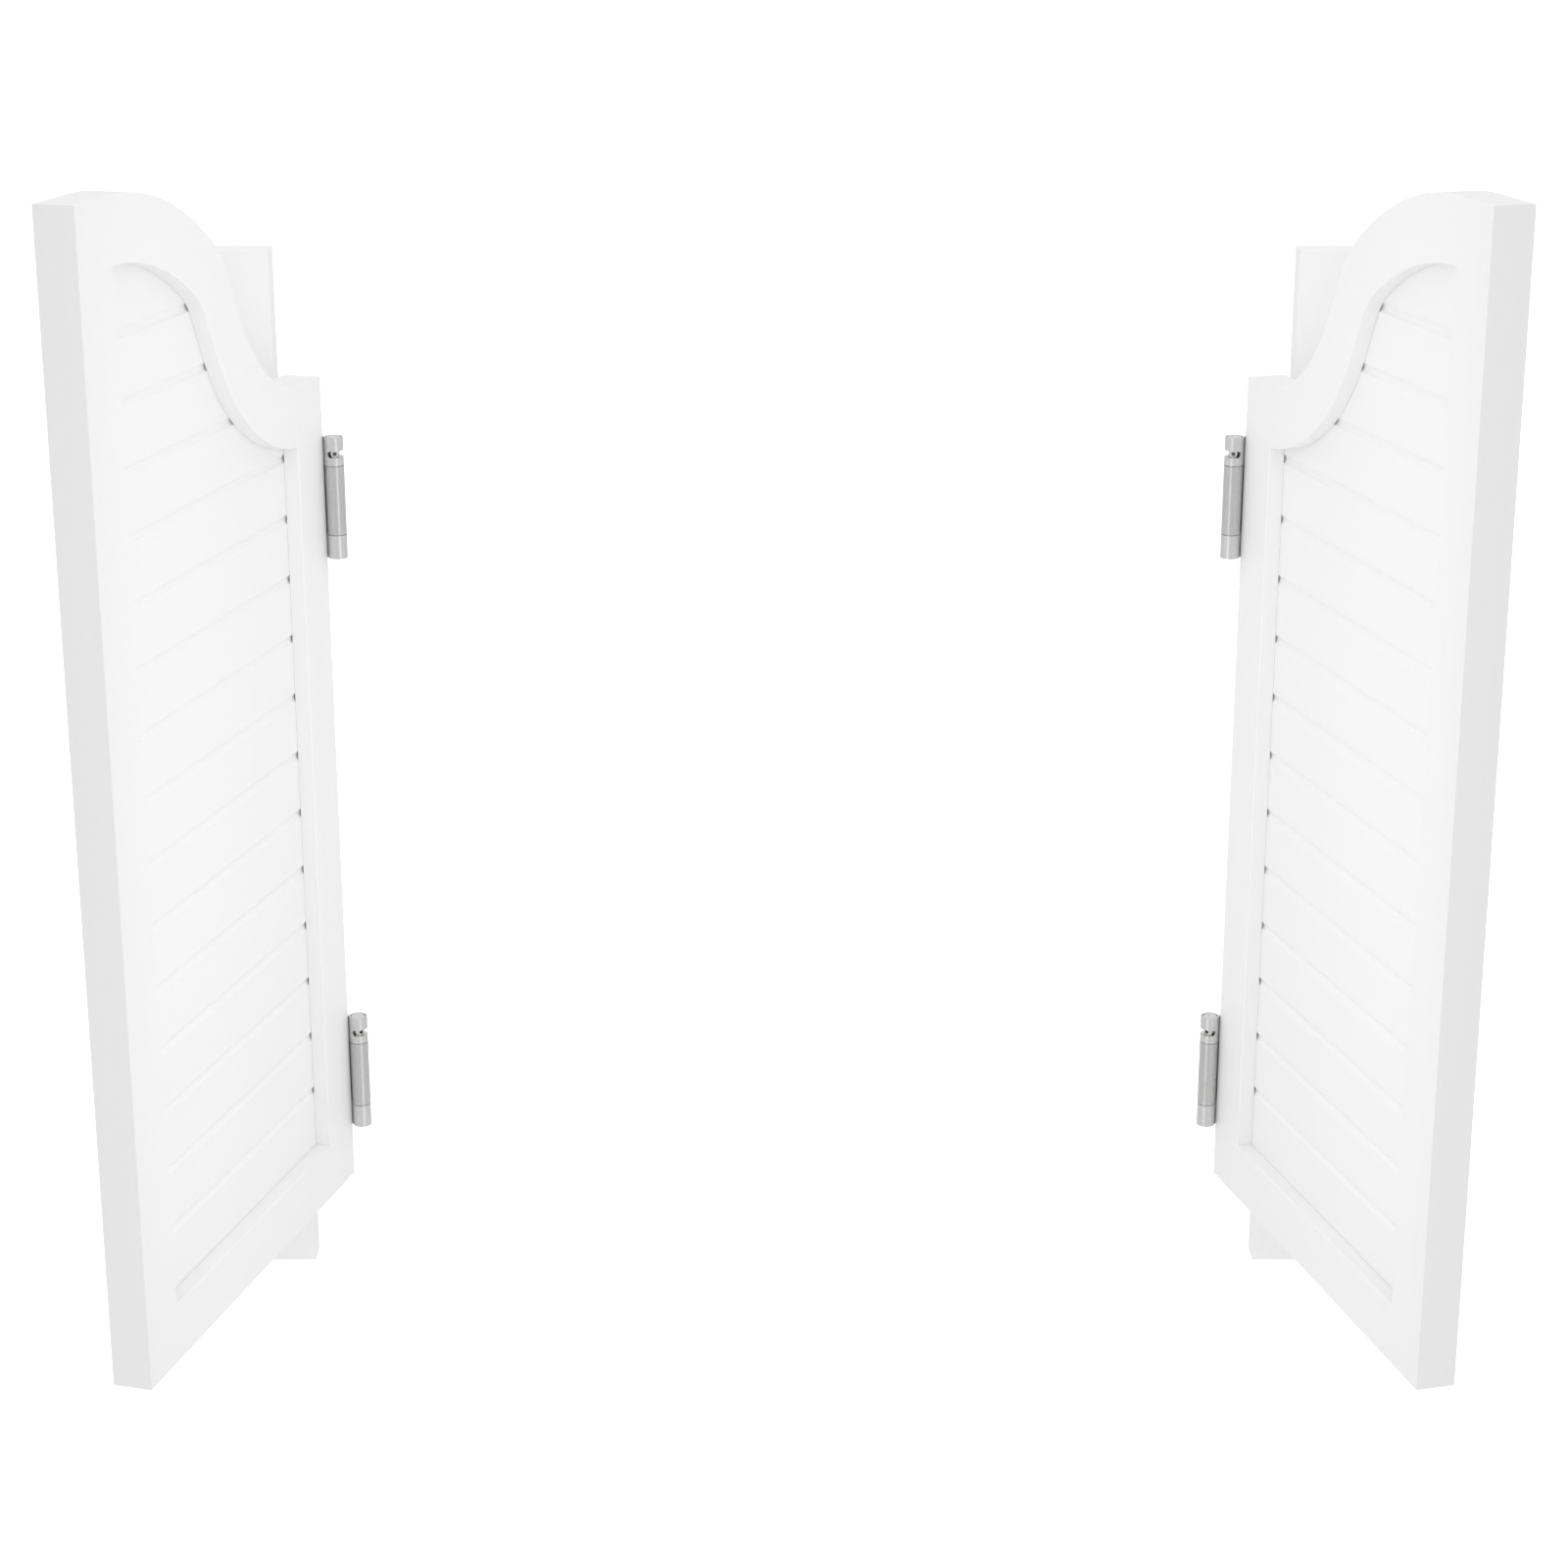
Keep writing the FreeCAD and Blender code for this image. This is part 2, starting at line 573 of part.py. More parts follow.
# Flange: a plate rolled into a knuckle at each end.  The window in the upper knuckle runs round
# from the plane of the leaf to the outside.
window_end = "nut_slot_height / 2"
window = add("Part::Cylinder", "Window", Radius=CLEAR, Height="nut_slot_height",
             Angle="nut_slot_angle", Placement__Base__z=SLOT_FOOT)
WINDOW_MIDDLE = "hinge_length - nut_slot_drop"
window_start = rod("WindowStart", window_end, CLEAR, up=WINDOW_MIDDLE, along="X")
window_stop = rod("WindowStop", window_end, CLEAR, up=WINDOW_MIDDLE, along="X")
stop_turn = doc.addObject("Part::Compound", "WindowStopTurned")
stop_turn.Links = [window_stop]
bind(stop_turn, Placement__Rotation__Angle="nut_slot_angle * 1 deg")
screw_seats = []
for reach, up in SCREW_ROWS:
    seat = add("Part::Cone", "ScrewSeat", Radius1="head_diameter / 2", Radius2="shank_diameter / 2",
               Height="plate_thickness")
    seat.Placement.Rotation = FreeCAD.Rotation(FreeCAD.Vector(0, 1, 0), 90)
    bind(seat, Placement__Base__x=FLANGE_FACE, Placement__Base__y="-(%s)" % reach,
         Placement__Base__z=up)
    screw_seats.append(seat)
flange_solid = fuse("FlangeSolid",
                    rod("LowerKnuckle", "barrel_radius", "bottom_knuckle"),
                    rod("UpperKnuckle", "barrel_radius", "top_knuckle", up=TOP_EDGE),
                    box("FlangePlate", FLANGE_FACE, "-flange_width", "0",
                        "plate_thickness", "flange_width", "hinge_length"))
flange_holes = fuse("FlangeHoles",
                    rod("FlangeBore", BORE, "hinge_length"),
                    rod("TubeSpace", CLEAR, "%s - bottom_knuckle" % TOP_EDGE, up="bottom_knuckle"),
                    window, window_start, stop_turn, *screw_seats)
flange = cut("Flange", flange_solid, flange_holes)

# Centre web: a plate between two spring tubes, cut back round the knuckles of the flanges.
web_solids = [box("WebPlate", "-plate_thickness / 2", "0", "0",
                  "plate_thickness", BARREL_SPACING, "hinge_length")]
web_holes = []
for back in ("0", BARREL_SPACING):
    web_solids.append(rod("Tube", "barrel_radius", "%s - %s" % (TUBE_TOP, TUBE_FOOT),
                          back=back, up=TUBE_FOOT))
    web_holes.append(rod("TubeBore", BORE, "hinge_length", back=back))
    web_holes.append(rod("LowerSpace", CLEAR, TUBE_FOOT, back=back))
    web_holes.append(rod("UpperSpace", CLEAR, "hinge_length - %s" % TUBE_TOP, back=back, up=TUBE_TOP))
web = cut("Web", fuse("WebSolid", *web_solids), fuse("WebHoles", *web_holes))

# Tension nut: runs in the upper knuckle and pilots the tube below it.  Its waist has crossed
# holes for the tightening bar.
nut = doc.addObject("PartDesign::Body", "NutTurned")
PIVOT_RADIUS = "(%s - running_play)" % BORE
SLOT_TOP = "(%s + nut_slot_height)" % SLOT_FOOT
NUT_FOOT = "(%s - spigot_length)" % TUBE_TOP
revolve(nut, [
    ("0", NUT_FOOT, None),
    (PIVOT_RADIUS, NUT_FOOT, None),
    (PIVOT_RADIUS, SLOT_FOOT, None),
    ("nut_waist_radius", SLOT_FOOT, None),
    ("nut_waist_radius", SLOT_TOP, None),
    (PIVOT_RADIUS, SLOT_TOP, None),
    (PIVOT_RADIUS, "hinge_length - nut_chamfer", None),
    ("%s - nut_chamfer" % PIVOT_RADIUS, "hinge_length", None),
    ("centre_radius", "hinge_length", None),
    ("0", "hinge_length - centre_depth", None)])
bar_across = rod("BarHole", "bar_diameter / 2", "2 * %s" % CLEAR, across="-%s" % CLEAR,
                 up=WINDOW_MIDDLE, along="X")
bar_through = rod("BarHole", "bar_diameter / 2", "2 * %s" % CLEAR, back="-%s" % CLEAR,
                  up=WINDOW_MIDDLE, along="Y")
tension_nut = cut("TensionNut", nut, fuse("BarHoles", bar_across, bar_through))

# Pivot: pressed into the lower knuckle, it carries the tube above it.
pivot = doc.addObject("PartDesign::Body", "Pivot")
PIVOT_TOP = "(%s + spigot_length)" % TUBE_FOOT
revolve(pivot, [
    ("0", "0", None),
    ("%s - nut_chamfer" % BORE, "0", None),
    (BORE, "nut_chamfer", None),
    (BORE, "bottom_knuckle", None),
    (PIVOT_RADIUS, "bottom_knuckle", None),
    (PIVOT_RADIUS, PIVOT_TOP, None),
    ("0", PIVOT_TOP, None)])

# Anchor: pressed into the tube above the pivot, it holds the foot of the spring.
ANCHOR_FOOT = "(%s + anchor_play)" % PIVOT_TOP
anchor = rod("Anchor", BORE, "anchor_length", up=ANCHOR_FOOT)

# Torsion spring: a coil from the anchor up to the nut.
SPRING_FOOT = "(%s + anchor_length)" % ANCHOR_FOOT
SPRING_LENGTH = "(%s - %s - wire_diameter - spring_play)" % (NUT_FOOT, SPRING_FOOT)
coil_line = add("Part::Helix", "CoilLine", Radius="spring_radius", Pitch="coil_pitch",
                Height=SPRING_LENGTH, Placement__Base__z="%s + wire_diameter / 2" % SPRING_FOOT)
wire_round = add("Part::Circle", "WireRound", Radius="wire_diameter / 2",
                 Placement__Base__x="spring_radius",
                 Placement__Base__z="%s + wire_diameter / 2" % SPRING_FOOT)
wire_round.Placement.Rotation = FreeCAD.Rotation(FreeCAD.Vector(1, 0, 0), 90)
spring = doc.addObject("Part::Sweep", "Spring")
spring.Sections = [wire_round]
spring.Spine = (coil_line, ["Edge1"])
spring.Solid = True
spring.Frenet = True

# The post side is the leaf side turned half round: its barrel is on the other face.
POST_SIDE = dict(turn="180")
LEAF_SIDE = dict(back=BARREL_SPACING)


def copy_of(piece):
    """One more of a piece that is made once."""
    return group("Copy", piece)


for name, place in HINGES:
    hinge = name + "_hinge_"
    finish(hinge + "jamb_flange", copy_of(flange), up=place, swings=False, **POST_SIDE)
    finish(hinge + "door_flange", copy_of(flange), up=place, **LEAF_SIDE)
    finish(hinge + "web", copy_of(web), up=place)
    finish(hinge + "jamb_spring", copy_of(spring), up=place)
    finish(hinge + "door_spring", copy_of(spring), up=place, **LEAF_SIDE)
    set_angle = name + "_bar_angle"
    finish(hinge + "jamb_tension_nut", copy_of(tension_nut), up=place, swings=False,
           turn="180 + " + set_angle)
    finish(hinge + "door_tension_nut", copy_of(tension_nut), up=place, turn=set_angle, **LEAF_SIDE)


def pair_of(piece, back):
    """The same piece in the lower and the upper hinge."""
    both = []
    for name, place in HINGES:
        one = copy_of(piece)
        both.append(bind(one, Placement__Base__y=back, Placement__Base__z=place))
    return both


finish("jamb_pivots", group("JambPivots", *pair_of(pivot, "0")), swings=False)
finish("door_pivots", group("DoorPivots", *pair_of(pivot, BARREL_SPACING)))
finish("spring_anchors", group("SpringAnchors", *pair_of(anchor, "0"), *pair_of(anchor, BARREL_SPACING)))
finish("jamb_screws", group("JambScrews", *screws_for(-1, "-" + FLANGE_FACE, "0")), swings=False)
finish("door_screws", group("DoorScrews", *screws_for(1, FLANGE_FACE, BARREL_SPACING)))

# ---------------------------------------------------------------------------------------------
# Check and export
# ---------------------------------------------------------------------------------------------

doc.recompute()
for thing in doc.Objects:
    if "Invalid" in thing.State or "Error" in thing.State:
        raise RuntimeError("%s (%s) did not build: %s" % (thing.Label, thing.Name, thing.State))
for node in nodes:
    if node.Shape.isNull() or not node.Shape.isValid() or not node.Shape.Solids:
        raise RuntimeError("%s has no valid solid" % node.Label)

os.makedirs("parts", exist_ok=True)
for node in nodes:
    node.Shape.exportStep("parts/%s.step" % node.Label)
    bounds = node.Shape.BoundBox
    print("%-34s %2d solids %10.1f mm3  x %7.1f %7.1f  y %7.1f %7.1f  z %6.1f %6.1f" % (
        node.Label, len(node.Shape.Solids), node.Shape.Volume, bounds.XMin, bounds.XMax,
        bounds.YMin, bounds.YMax, bounds.ZMin, bounds.ZMax))
print("%d nodes" % len(nodes))
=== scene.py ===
"""A pair of white cafe doors on double-action spring hinges, standing open towards the viewer.

Lengths are metres.  The sections follow the doors as a joiner puts them together: the painted
frame of each leaf, its grooved panel, the posts, the dowels, the hinges and their screws, and
then the room.
"""

import json
import math

import bpy
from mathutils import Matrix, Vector

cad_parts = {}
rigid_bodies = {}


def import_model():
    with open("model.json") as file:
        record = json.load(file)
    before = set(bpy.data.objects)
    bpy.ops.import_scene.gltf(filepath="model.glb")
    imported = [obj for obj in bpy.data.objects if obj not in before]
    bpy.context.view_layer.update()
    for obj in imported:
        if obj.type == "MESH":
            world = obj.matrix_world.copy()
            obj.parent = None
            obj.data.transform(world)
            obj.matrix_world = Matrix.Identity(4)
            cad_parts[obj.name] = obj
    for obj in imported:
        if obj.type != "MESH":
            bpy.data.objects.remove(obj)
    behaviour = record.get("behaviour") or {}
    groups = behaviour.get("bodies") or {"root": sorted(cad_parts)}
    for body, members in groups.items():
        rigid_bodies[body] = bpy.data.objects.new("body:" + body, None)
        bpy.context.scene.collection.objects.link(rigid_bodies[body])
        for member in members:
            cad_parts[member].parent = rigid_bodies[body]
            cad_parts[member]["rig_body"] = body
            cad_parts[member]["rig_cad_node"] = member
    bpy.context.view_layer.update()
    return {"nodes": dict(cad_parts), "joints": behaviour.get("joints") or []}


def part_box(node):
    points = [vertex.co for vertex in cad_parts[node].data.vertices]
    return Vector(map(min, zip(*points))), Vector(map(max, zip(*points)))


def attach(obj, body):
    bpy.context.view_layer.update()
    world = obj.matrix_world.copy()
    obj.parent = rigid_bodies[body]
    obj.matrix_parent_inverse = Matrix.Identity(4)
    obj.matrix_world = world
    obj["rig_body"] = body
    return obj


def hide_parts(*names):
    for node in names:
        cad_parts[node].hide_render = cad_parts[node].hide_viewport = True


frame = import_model()
nodes = frame["nodes"]

# ---------------------------------------------------------------------------------------------
# Stiles and rails.  Square-edged softwood, dowelled and glued, so that all four move as one leaf.
# Sanding has rubbed their arrises round.  Two coats of satin white fill the joints, apart from
# the one at the head of the hinge stile, which has opened to a hairline.
# ---------------------------------------------------------------------------------------------

SIDES = ("left", "right")
FRAME_PIECES = {
    "meeting_stile": "upright",
    "hinge_stile": "upright",
    "bottom_rail": "level",
    "top_rail": "level",
}
SANDED_ROUND = 0.00020
SHORTEST_ARRIS = 0.0030
AT_A_JOINT = SANDED_ROUND / 4
HAIRLINE_SHARE = 0.3
SHARP = math.radians(30)
LEVEL_ENOUGH = math.radians(0.2)
SAME_PLACE = 1e-6
ROUNDING_STEPS = 2
FRAME_WHITE = (0.900, 0.900, 0.900)
FRAME_SHADE = (0.845, 0.845, 0.845)

barrels = {joint["name"]: Vector(joint["pos_m"]) for joint in frame["joints"]}


def softened(node, name, round_width, shortest, share=None):
    """A copy of a node, with a clean mesh of its own whose longer sharp edges are rounded.

    share says, from an edge's two ends, what part of the width it gets.  Without it, every
    edge gets the whole width.
    """
    bpy.ops.object.select_all(action="DESELECT")
    source = nodes[node]
    source.select_set(True)
    bpy.context.view_layer.objects.active = source
    bpy.ops.object.duplicate()
    piece = bpy.context.active_object
    piece.name = name
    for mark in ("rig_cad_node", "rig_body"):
        del piece[mark]
    piece.parent = None

    bpy.ops.object.mode_set(mode="EDIT")
    bpy.ops.mesh.select_all(action="SELECT")
    bpy.ops.mesh.remove_doubles(threshold=SAME_PLACE)
    bpy.ops.mesh.customdata_custom_splitnormals_clear()
    bpy.ops.mesh.dissolve_limited(angle_limit=LEVEL_ENOUGH)
    bpy.ops.mesh.select_all(action="DESELECT")
    bpy.ops.mesh.select_mode(type="EDGE")
    bpy.ops.mesh.edges_select_sharp(sharpness=SHARP)
    bpy.ops.object.mode_set(mode="OBJECT")
    mesh = piece.data
    weights = mesh.attributes.new("bevel_weight_edge", "FLOAT", "EDGE")
    for edge in mesh.edges:
        start, end = (mesh.vertices[index].co for index in edge.vertices)
        if edge.select and (end - start).length >= shortest:
            weights.data[edge.index].value = share(start, end) if share else 1.0
    rounding = piece.modifiers.new("Rounded edges", "BEVEL")
    rounding.limit_method = "WEIGHT"
    rounding.width = round_width
    rounding.segments = ROUNDING_STEPS
    rounding.use_clamp_overlap = False
    bpy.ops.object.modifier_apply(modifier=rounding.name)
    bpy.ops.object.shade_smooth_by_angle(angle=SHARP)
    weighted = piece.modifiers.new("Flat faces stay flat", "WEIGHTED_NORMAL")
    weighted.keep_sharp = True
    bpy.ops.object.modifier_apply(modifier=weighted.name)
    return piece


def leaf_line(side):
    """The level direction from a leaf's hinge edge to its free edge, as it stands."""
    through = (barrels[side + "_leaf_barrels"] - barrels[side + "_post_barrels"]).normalized()
    hand = 1 if side == "left" else -1
    return Vector((hand * through.y, -hand * through.x, 0))


def leaf_turn(side):
    """The angle that turns a leaf's own length to lie along X."""
    return -math.atan2(leaf_line(side).y, leaf_line(side).x)


def frame_share(side):
    """What part of the rounding each edge of a leaf's frame gets.

    The edges of a glued joint get none, because the paint fills it.  Those of the opened one,
    high up between the hinge stile and the top rail, get a little.
    """
    line = leaf_line(side)
    rail = [vertex.co for vertex in nodes[side + "_bottom_rail"].data.vertices]
    joints = [extreme(place.dot(line) for place in rail) for extreme in (min, max)]
    middle = sum(corner[2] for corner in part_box(side + "_hinge_stile")) / 2

    def share(start, end):
        for joint in joints:
            if max(abs(place.dot(line) - joint) for place in (start, end)) < AT_A_JOINT:
                opened = joint == joints[0] and min(start.z, end.z) > middle
                return HAIRLINE_SHARE if opened else 0.0
        return 1.0
    return share


def coat(thing, material):
    """Gives a whole piece one finish."""
    thing.data.materials.clear()
    thing.data.materials.append(material)


def new_group(name, inputs, outputs):
    """An empty shader node group with the named sockets, and its two end nodes."""
    group = bpy.data.node_groups.new(name, "ShaderNodeTree")
    for socket, kind, value in inputs:
        made = group.interface.new_socket(socket, in_out="INPUT", socket_type=kind)
        if value is not None:
            made.default_value = value
    for socket, kind in outputs:
        group.interface.new_socket(socket, in_out="OUTPUT", socket_type=kind)
    return group, group.nodes.new("NodeGroupInput"), group.nodes.new("NodeGroupOutput")


def new_material(name):
    """A material, its node tree, its shader and the output that gives the piece's own places."""
    material = bpy.data.materials.new(name)
    material.use_nodes = True
    tree = material.node_tree
    place = tree.nodes.new("ShaderNodeTexCoord").outputs["Object"]
    return material, tree, tree.nodes["Principled BSDF"], place


def add_node(tree, kind, inputs=None, **settings):
    """A node with its settings, and with values for its inputs by their name or number."""
    node = tree.nodes.new(kind)
    for setting, value in settings.items():
        setattr(node, setting, value)
    for socket, value in (inputs or {}).items():
        node.inputs[socket].default_value = value
    return node


def placed(tree, group):
    """A copy of a node group's effect in a material."""
    node = tree.nodes.new("ShaderNodeGroup")
    node.node_tree = group
    return node


def carried_over(tree, value, old=(0.0, 1.0), new=(0.0, 1.0)):
    """Carries one range of numbers over to another, and stops at its ends."""
    ends = {"From Min": old[0], "From Max": old[1], "To Min": new[0], "To Max": new[1]}
    node = add_node(tree, "ShaderNodeMapRange", ends)
    tree.links.new(value, node.inputs["Value"])
    return node.outputs["Result"]


def scaled(tree, value, factor):
    """A number times a fixed one."""
    times = add_node(tree, "ShaderNodeMath", {1: factor}, operation="MULTIPLY")
    tree.links.new(value, times.inputs[0])
    return times.outputs[0]


# A Mix node blends its inputs 2 and 3 if they are numbers, and 6 and 7 if they are colours.
def blend_numbers(tree, share, first, second):
    """Two patterns mixed, with a fixed share of the second."""
    mix = add_node(tree, "ShaderNodeMix", {0: share}, data_type="FLOAT")
    tree.links.new(first, mix.inputs[2])
    tree.links.new(second, mix.inputs[3])
    return mix.outputs[0]


def blend_colours(tree, mask, below, above):
    """Lays a plain colour over another, or over a node's colour, where a mask says."""
    mix = add_node(tree, "ShaderNodeMix", {7: (*above, 1)}, data_type="RGBA")
    tree.links.new(mask, mix.inputs[0])
    if isinstance(below, tuple):
        mix.inputs[6].default_value = (*below, 1)
    else:
        tree.links.new(below, mix.inputs[6])
    return mix.outputs[2]


def raised(tree, height, strength, depth, under=None):
    """The normal of a surface with a relief on it, over another relief if one is given."""
    bump = add_node(tree, "ShaderNodeBump", {"Strength": strength, "Distance": depth})
    tree.links.new(height, bump.inputs["Height"])
    if under:
        tree.links.new(under, bump.inputs["Normal"])
    return bump.outputs["Normal"]


FIBRES = {"Scale": 620.0, "Detail": 3.0, "Roughness": 0.55}
FIGURE = {"Scale": 95.0, "Detail": 2.0, "Roughness": 0.5}
FIGURE_SHARE = 0.45
GRAIN_STRETCH = 0.045
GRAIN_SPREAD = (0.38, 0.66)


def wood_under_paint():
    """Growth rings that telegraph through paint, as long lines up the piece's Z axis."""
    group, start, end = new_group(
        "wood_under_paint",
        [("Vector", "NodeSocketVector", None)],
        [("Height", "NodeSocketFloat"), ("Tone", "NodeSocketFloat")])
    link = group.links.new
    stretch = add_node(group, "ShaderNodeMapping", {"Scale": (1.0, 1.0, GRAIN_STRETCH)})
    link(start.outputs["Vector"], stretch.inputs["Vector"])
    fibres = add_node(group, "ShaderNodeTexNoise", FIBRES)
    figure = add_node(group, "ShaderNodeTexNoise", FIGURE)
    link(stretch.outputs["Vector"], fibres.inputs["Vector"])
    link(stretch.outputs["Vector"], figure.inputs["Vector"])
    height = blend_numbers(group, FIGURE_SHARE, fibres.outputs["Fac"], figure.outputs["Fac"])
    link(height, end.inputs["Height"])
    link(carried_over(group, height, GRAIN_SPREAD), end.inputs["Tone"])
    return group


PEEL = {"Scale": 380.0, "Detail": 1.0, "Roughness": 0.4}
NIBS_PER_METRE = 95.0
NIB_EDGE = (0.035, 0.015)
NIB_HEIGHT = 0.5


def sprayed_skin():
    """The slight orange peel of a sprayed coat, with a few dust nibs caught in it."""
    group, start, end = new_group(
        "sprayed_skin",
        [("Vector", "NodeSocketVector", None)],
        [("Height", "NodeSocketFloat"), ("Nibs", "NodeSocketFloat")])
    link = group.links.new
    peel = add_node(group, "ShaderNodeTexNoise", PEEL)
    link(start.outputs["Vector"], peel.inputs["Vector"])
    specks = add_node(group, "ShaderNodeTexVoronoi", {"Scale": NIBS_PER_METRE})
    link(start.outputs["Vector"], specks.inputs["Vector"])
    nibs = carried_over(group, specks.outputs["Distance"], NIB_EDGE)
    link(nibs, end.inputs["Nibs"])
    height = add_node(group, "ShaderNodeMath", {1: NIB_HEIGHT}, operation="MULTIPLY_ADD")
    link(nibs, height.inputs[0])
    link(peel.outputs["Fac"], height.inputs[2])
    link(height.outputs[0], end.inputs["Height"])
    return group


RUBBED_REACH = 0.0015
ROUNDED_LEAN = (0.995, 0.90)
PATCHES = {"Scale": 24.0, "Detail": 3.0}
PATCH_SPREAD = (0.42, 0.62)


def rubbed_arris():
    """A mask of the edges that hands and cloths rub, broken up by a slow noise."""
    group, start, end = new_group(
        "rubbed_arris",
        [("Vector", "NodeSocketVector", None), ("Reach", "NodeSocketFloat", RUBBED_REACH)],
        [("Mask", "NodeSocketFloat")])
    link = group.links.new
    round_off = add_node(group, "ShaderNodeBevel", samples=4)
    link(start.outputs["Reach"], round_off.inputs["Radius"])
    true = add_node(group, "ShaderNodeNewGeometry")
    lean = add_node(group, "ShaderNodeVectorMath", operation="DOT_PRODUCT")
    link(round_off.outputs["Normal"], lean.inputs[0])
    link(true.outputs["Normal"], lean.inputs[1])
    patches = add_node(group, "ShaderNodeTexNoise", PATCHES)
    link(start.outputs["Vector"], patches.inputs["Vector"])
    mask = add_node(group, "ShaderNodeMath", operation="MULTIPLY")
    link(carried_over(group, lean.outputs["Value"], ROUNDED_LEAN), mask.inputs[0])
    link(carried_over(group, patches.outputs["Fac"], PATCH_SPREAD), mask.inputs[1])
    link(mask.outputs[0], end.inputs["Mask"])
    return group


# The corner mask reads ambient occlusion: what it darkens is painted shade as well as settled dirt.
DUST_AND_SHADE_REACH = 0.004
DUSTY_SHADE = (0.85, 0.25)


def corner_dust_and_shade():
    """A mask of inside corners by ambient occlusion: dirt and old polish, and painted shade."""
    group, start, end = new_group(
        "corner_dust_and_shade",
        [("Reach", "NodeSocketFloat", DUST_AND_SHADE_REACH)],
        [("Mask", "NodeSocketFloat")])
    shade = add_node(group, "ShaderNodeAmbientOcclusion", samples=6)
    group.links.new(start.outputs["Reach"], shade.inputs["Distance"])
    group.links.new(carried_over(group, shade.outputs["AO"], DUSTY_SHADE), end.inputs["Mask"])
    return group


WOOD = wood_under_paint()
SKIN = sprayed_skin()
RUBBED = rubbed_arris()
DUST_AND_SHADE = corner_dust_and_shade()

PAINT_SHINE = 0.42
PAINT_ROUGHNESS = (0.36, 0.46)
GRAIN_TONE = 0.16
RUBBED_TONE = 0.20
# Share and grey of the painted shade, with some dirt, laid into the paint's inside corners.
DUST_AND_SHADE_TONE = 0.07
DUST_AND_SHADE_COLOUR = (0.56, 0.55, 0.53)
NIB_TONE = 0.05
NIB_COLOUR = (0.62, 0.61, 0.58)
GRAIN_RELIEF = 0.14
GRAIN_DEPTH = 0.00012
SKIN_RELIEF = 0.10
SKIN_DEPTH = 0.00010


def white_paint(name, turn, grain, paint, shade, grain_strength=1.0):
    """Satin white over wood.  grain is upright or level, in the piece's own turned axes."""
    material, tree, shader, place = new_material(name)
    link = tree.links.new
    shader.inputs["Specular IOR Level"].default_value = PAINT_SHINE

    own_axes = add_node(tree, "ShaderNodeMapping", {"Rotation": (0, 0, turn)})
    link(place, own_axes.inputs["Vector"])
    tip = math.pi / 2 if grain == "level" else 0.0
    grain_axes = add_node(tree, "ShaderNodeMapping", {"Rotation": (0, tip, 0)})
    link(own_axes.outputs["Vector"], grain_axes.inputs["Vector"])

    wood, skin, rubbed, dust_and_shade = (placed(tree, group) for group in (WOOD, SKIN, RUBBED, DUST_AND_SHADE))
    link(grain_axes.outputs["Vector"], wood.inputs["Vector"])
    link(own_axes.outputs["Vector"], skin.inputs["Vector"])
    link(own_axes.outputs["Vector"], rubbed.inputs["Vector"])

    grain_mask = scaled(tree, wood.outputs["Tone"], GRAIN_TONE * grain_strength)
    colour = blend_colours(tree, grain_mask, paint, shade)
    colour = blend_colours(tree, scaled(tree, rubbed.outputs["Mask"], RUBBED_TONE), colour, shade)
    # Painted shade with dirt: inside corners, groove ends and the panel's joint darken towards
    # grey.
    colour = blend_colours(tree, scaled(tree, dust_and_shade.outputs["Mask"], DUST_AND_SHADE_TONE), colour, DUST_AND_SHADE_COLOUR)
    colour = blend_colours(tree, scaled(tree, skin.outputs["Nibs"], NIB_TONE), colour, NIB_COLOUR)
    link(colour, shader.inputs["Base Color"])
    link(carried_over(tree, wood.outputs["Tone"], new=PAINT_ROUGHNESS), shader.inputs["Roughness"])

    grain_relief = raised(tree, wood.outputs["Height"], GRAIN_RELIEF * grain_strength, GRAIN_DEPTH)
    skin_relief = raised(tree, skin.outputs["Height"], SKIN_RELIEF, SKIN_DEPTH, grain_relief)
    link(skin_relief, shader.inputs["Normal"])
    return material


for side in SIDES:
    turn = leaf_turn(side)
    for kind, grain in FRAME_PIECES.items():
        node = "%s_%s" % (side, kind)
        member = softened(node, node + "_painted", SANDED_ROUND, SHORTEST_ARRIS, frame_share(side))
        coat(member, white_paint("satin_white_" + node, turn, grain, FRAME_WHITE, FRAME_SHADE))
        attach(member, side + "_leaf")
        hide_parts(node)

# ---------------------------------------------------------------------------------------------
# Grooved panels.  One board, its faces cut with level round grooves to look like narrow boards,
# let into a slot round the inside of the frame.  The grooves run on into the slot, so each ends
# in a small dark opening.  The cutter's sharp lips are eased by the paint.
# ---------------------------------------------------------------------------------------------

GROOVE_LIP = 0.00030
PANEL_WHITE = (0.905, 0.905, 0.905)
PANEL_SHADE = (0.850, 0.850, 0.850)
PANEL_GRAIN = 0.6

for side in SIDES:
    node = side + "_grooved_panel"
    board = softened(node, node + "_painted", GROOVE_LIP, SHORTEST_ARRIS)
    coat(board, white_paint("satin_white_" + node, leaf_turn(side), "upright",
                            PANEL_WHITE, PANEL_SHADE, PANEL_GRAIN))
    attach(board, side + "_leaf")
    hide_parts(node)

# ---------------------------------------------------------------------------------------------
# Posts.  Planed battens in the same paint, screwed to the walls through three counterbored holes
# each.  Their white is set a shade whiter than the leaves' as painted light, standing in for the
# stronger light that falls on them.
# ---------------------------------------------------------------------------------------------

# Painted light: both tones sit above the leaves' paint, for the stronger light on the posts.
POST_WHITE_WITH_PAINTED_LIGHT = (0.930, 0.930, 0.930)
POST_SHADE_WITH_PAINTED_LIGHT = (0.870, 0.870, 0.870)

